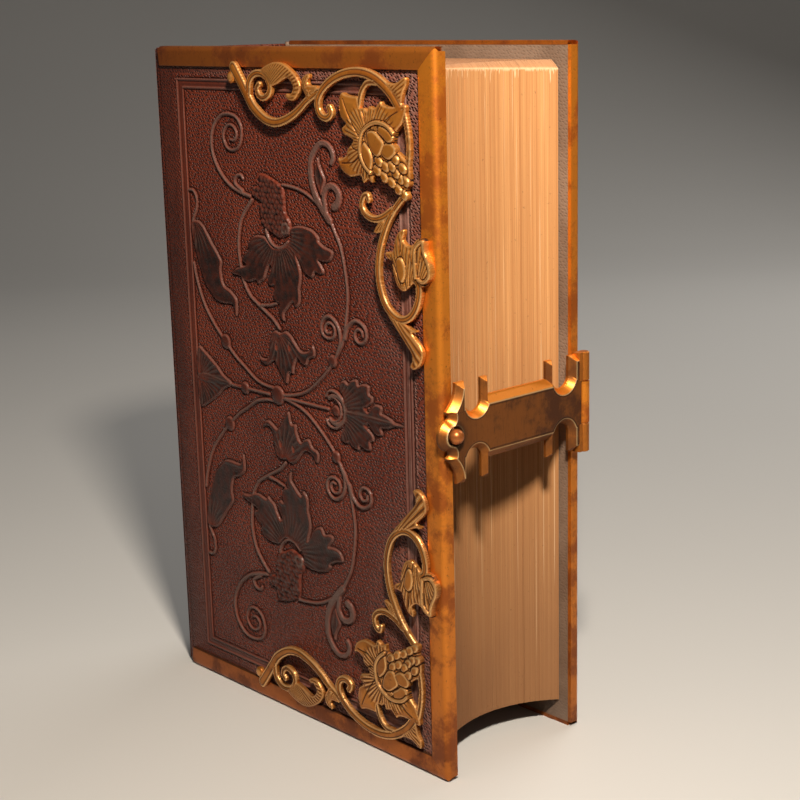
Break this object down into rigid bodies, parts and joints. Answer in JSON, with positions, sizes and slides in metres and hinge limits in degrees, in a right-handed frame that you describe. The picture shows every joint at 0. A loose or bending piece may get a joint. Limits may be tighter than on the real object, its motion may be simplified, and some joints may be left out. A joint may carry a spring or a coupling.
{
  "type": "antique book",
  "caption": "Thick antique book in embossed leather with brass rims, pierced corner mounts and a hinged fore-edge clasp; both covers and the clasp open.",
  "frame": {"origin": "middle of the book's box on the surface that the tail rims stand on", "axes": "+X from the spine towards the fore-edge, -Y towards the front cover, +Z from tail to head"},
  "size_m": [0.1406, 0.0578, 0.2],
  "materials": {
    "leather": "matt",
    "brass": "aged",
    "paper": "matt",
    "board": "matt",
    "thread": "matt"
  },
  "bodies": {
    "text_block": {"pages": "paper", "head_band": "thread", "tail_band": "thread", "spine_leather": "leather"},
    "front_cover": {"front_board": "board", "front_leather": "leather", "front_pastedown": "paper", "front_rim_head": "brass", "front_rim_fore": "brass", "front_rim_tail": "brass", "corner_mount_head": "brass", "corner_mount_tail": "brass", "catch_stud": "brass"},
    "back_cover": {"back_board": "board", "back_leather": "leather", "back_pastedown": "paper", "back_rim_head": "brass", "back_rim_fore": "brass", "back_rim_tail": "brass", "hinge_leaf": "brass", "hinge_pin": "brass"},
    "clasp": {"clasp_plate": "brass"}
  },
  "joints": [
    {"name": "front_cover_hinge", "type": "hinge", "parent": "text_block", "child": "front_cover", "pos_m": [-0.05935, -0.0259, 0.1], "axis": [0, 0, -1], "range_deg": [0, 150]},
    {"name": "back_cover_hinge", "type": "hinge", "parent": "text_block", "child": "back_cover", "pos_m": [-0.05935, 0.0283, 0.1], "axis": [0, 0, 1], "range_deg": [0, 150]},
    {"name": "clasp_hinge", "type": "hinge", "parent": "back_cover", "child": "clasp", "pos_m": [0.06725, 0.0273, 0.1], "axis": [0, 0, 1], "range_deg": [0, 180]}
  ]
}
